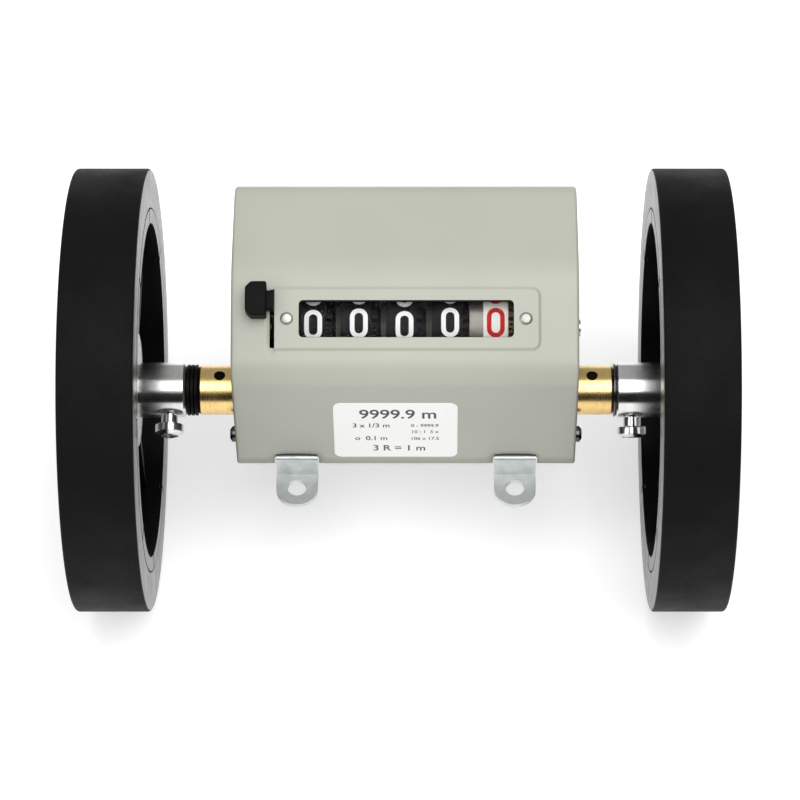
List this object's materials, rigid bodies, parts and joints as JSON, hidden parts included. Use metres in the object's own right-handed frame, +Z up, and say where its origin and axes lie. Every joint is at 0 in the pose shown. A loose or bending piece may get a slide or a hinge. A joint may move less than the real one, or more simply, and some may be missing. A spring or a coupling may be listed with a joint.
{
  "type": "cable length counter",
  "caption": "Cable length counter: a geared drum counter in a sheet-metal case, driven by an axle with a rubber-tyred measuring wheel at each end, with a reset lever.",
  "frame": {"origin": "on the axle's axis, midway between the measuring wheels", "axes": "+X along the axle to the right, +Y to the back, +Z up; the window and the label face the front, -Y"},
  "size_m": [0.1544, 0.1062, 0.1062],
  "materials": {
    "paint": "smooth satin grey-green enamel",
    "zinc": "bright zinc plating",
    "steel": "turned and ground",
    "polished": "polished nickel plating",
    "brass": "turned, bright",
    "blackened": "black oxide",
    "black_plastic": "moulded, fine grain",
    "wheel_body": "moulded, satin",
    "tread": "moulded rubber, matt",
    "label": "printed film",
    "lens": "clear, flat",
    "drum_black": "moulded, satin",
    "drum_white": "moulded, satin",
    "nylon": "natural nylon",
    "spring": "spring wire"
  },
  "bodies": {
    "housing": {"chassis": "zinc", "tie_rods": "steel", "left_bush": "brass", "right_bush": "brass", "bush_nuts": "brass", "cover": "paint", "cover_screws": "blackened", "window_lens": "lens", "window_rivets": "blackened", "label_plate": "label", "drum_shaft": "steel", "drum_spacers": "brass", "carry_shaft": "steel", "carry_spacer": "brass", "reset_spring": "spring"},
    "axle": {"main_shaft": "steel", "spacer_ring": "black_plastic", "thrust_washer": "steel", "shaft_collars": "steel", "hub_screws": "zinc", "drive_pinion": "brass", "pinion_pins": "steel", "left_hub": "polished", "left_clamp_screw": "zinc", "left_wheel": "wheel_body", "left_tyre": "tread", "right_hub": "polished", "right_clamp_screw": "zinc", "right_wheel": "wheel_body", "right_tyre": "tread"},
    "thousands_number_drum": {"thousands_drum": "drum_black", "thousands_cam": "nylon"},
    "hundreds_number_drum": {"hundreds_drum": "drum_black", "hundreds_cam": "nylon"},
    "tens_number_drum": {"tens_drum": "drum_black", "tens_cam": "nylon"},
    "metres_number_drum": {"metres_drum": "drum_black", "metres_cam": "nylon"},
    "tenths_number_drum": {"tenths_drum": "drum_white", "tenths_cam": "nylon", "tenths_disc": "polished", "drive_gear": "brass"},
    "thousands_carry": {"thousands_carry_pinion": "nylon"},
    "hundreds_carry": {"hundreds_carry_pinion": "nylon"},
    "tens_carry": {"tens_carry_pinion": "nylon"},
    "metres_carry": {"metres_carry_pinion": "nylon"},
    "reset": {"reset_shaft": "steel", "reset_lever": "steel", "reset_cap": "black_plastic", "reset_fingers": "steel"}
  },
  "joints": [
    {"name": "axle_spin", "type": "hinge", "parent": "housing", "child": "axle", "pos_m": [0, 0, 0], "axis": [1, 0, 0], "continuous": true},
    {"name": "tenths_drum_spin", "type": "hinge", "parent": "housing", "child": "tenths_number_drum", "pos_m": [0, 0.00571, 0.01707], "axis": [1, 0, 0], "continuous": true},
    {"name": "metres_drum_spin", "type": "hinge", "parent": "housing", "child": "metres_number_drum", "pos_m": [0, 0.00571, 0.01707], "axis": [1, 0, 0], "continuous": true},
    {"name": "metres_carry_spin", "type": "hinge", "parent": "housing", "child": "metres_carry", "pos_m": [0, 0.02058, 0.01166], "axis": [1, 0, 0], "continuous": true},
    {"name": "tens_drum_spin", "type": "hinge", "parent": "housing", "child": "tens_number_drum", "pos_m": [0, 0.00571, 0.01707], "axis": [1, 0, 0], "continuous": true},
    {"name": "tens_carry_spin", "type": "hinge", "parent": "housing", "child": "tens_carry", "pos_m": [0, 0.02058, 0.01166], "axis": [1, 0, 0], "continuous": true},
    {"name": "hundreds_drum_spin", "type": "hinge", "parent": "housing", "child": "hundreds_number_drum", "pos_m": [0, 0.00571, 0.01707], "axis": [1, 0, 0], "continuous": true},
    {"name": "hundreds_carry_spin", "type": "hinge", "parent": "housing", "child": "hundreds_carry", "pos_m": [0, 0.02058, 0.01166], "axis": [1, 0, 0], "continuous": true},
    {"name": "thousands_drum_spin", "type": "hinge", "parent": "housing", "child": "thousands_number_drum", "pos_m": [0, 0.00571, 0.01707], "axis": [1, 0, 0], "continuous": true},
    {"name": "thousands_carry_spin", "type": "hinge", "parent": "housing", "child": "thousands_carry", "pos_m": [0, 0.02058, 0.01166], "axis": [1, 0, 0], "continuous": true},
    {"name": "reset_pull", "type": "hinge", "parent": "housing", "child": "reset", "pos_m": [0, 0.01381, 0.00304], "axis": [1, 0, 0], "range_deg": [0, 13], "stiffness_Nm_per_rad": 0.2, "springref_deg": -14.32, "deforming": ["reset_spring"]}
  ],
  "couplings": [
    {"joint": "tenths_drum_spin", "follows": "axle_spin", "ratio": -0.33333},
    {"joint": "metres_drum_spin", "follows": "axle_spin", "ratio": -0.033333},
    {"joint": "metres_carry_spin", "follows": "axle_spin", "ratio": 0.083333},
    {"joint": "tens_drum_spin", "follows": "axle_spin", "ratio": -0.0033333},
    {"joint": "tens_carry_spin", "follows": "axle_spin", "ratio": 0.0083333},
    {"joint": "hundreds_drum_spin", "follows": "axle_spin", "ratio": -0.00033333},
    {"joint": "hundreds_carry_spin", "follows": "axle_spin", "ratio": 0.00083333},
    {"joint": "thousands_drum_spin", "follows": "axle_spin", "ratio": -0.000033333},
    {"joint": "thousands_carry_spin", "follows": "axle_spin", "ratio": 0.000083333}
  ]
}
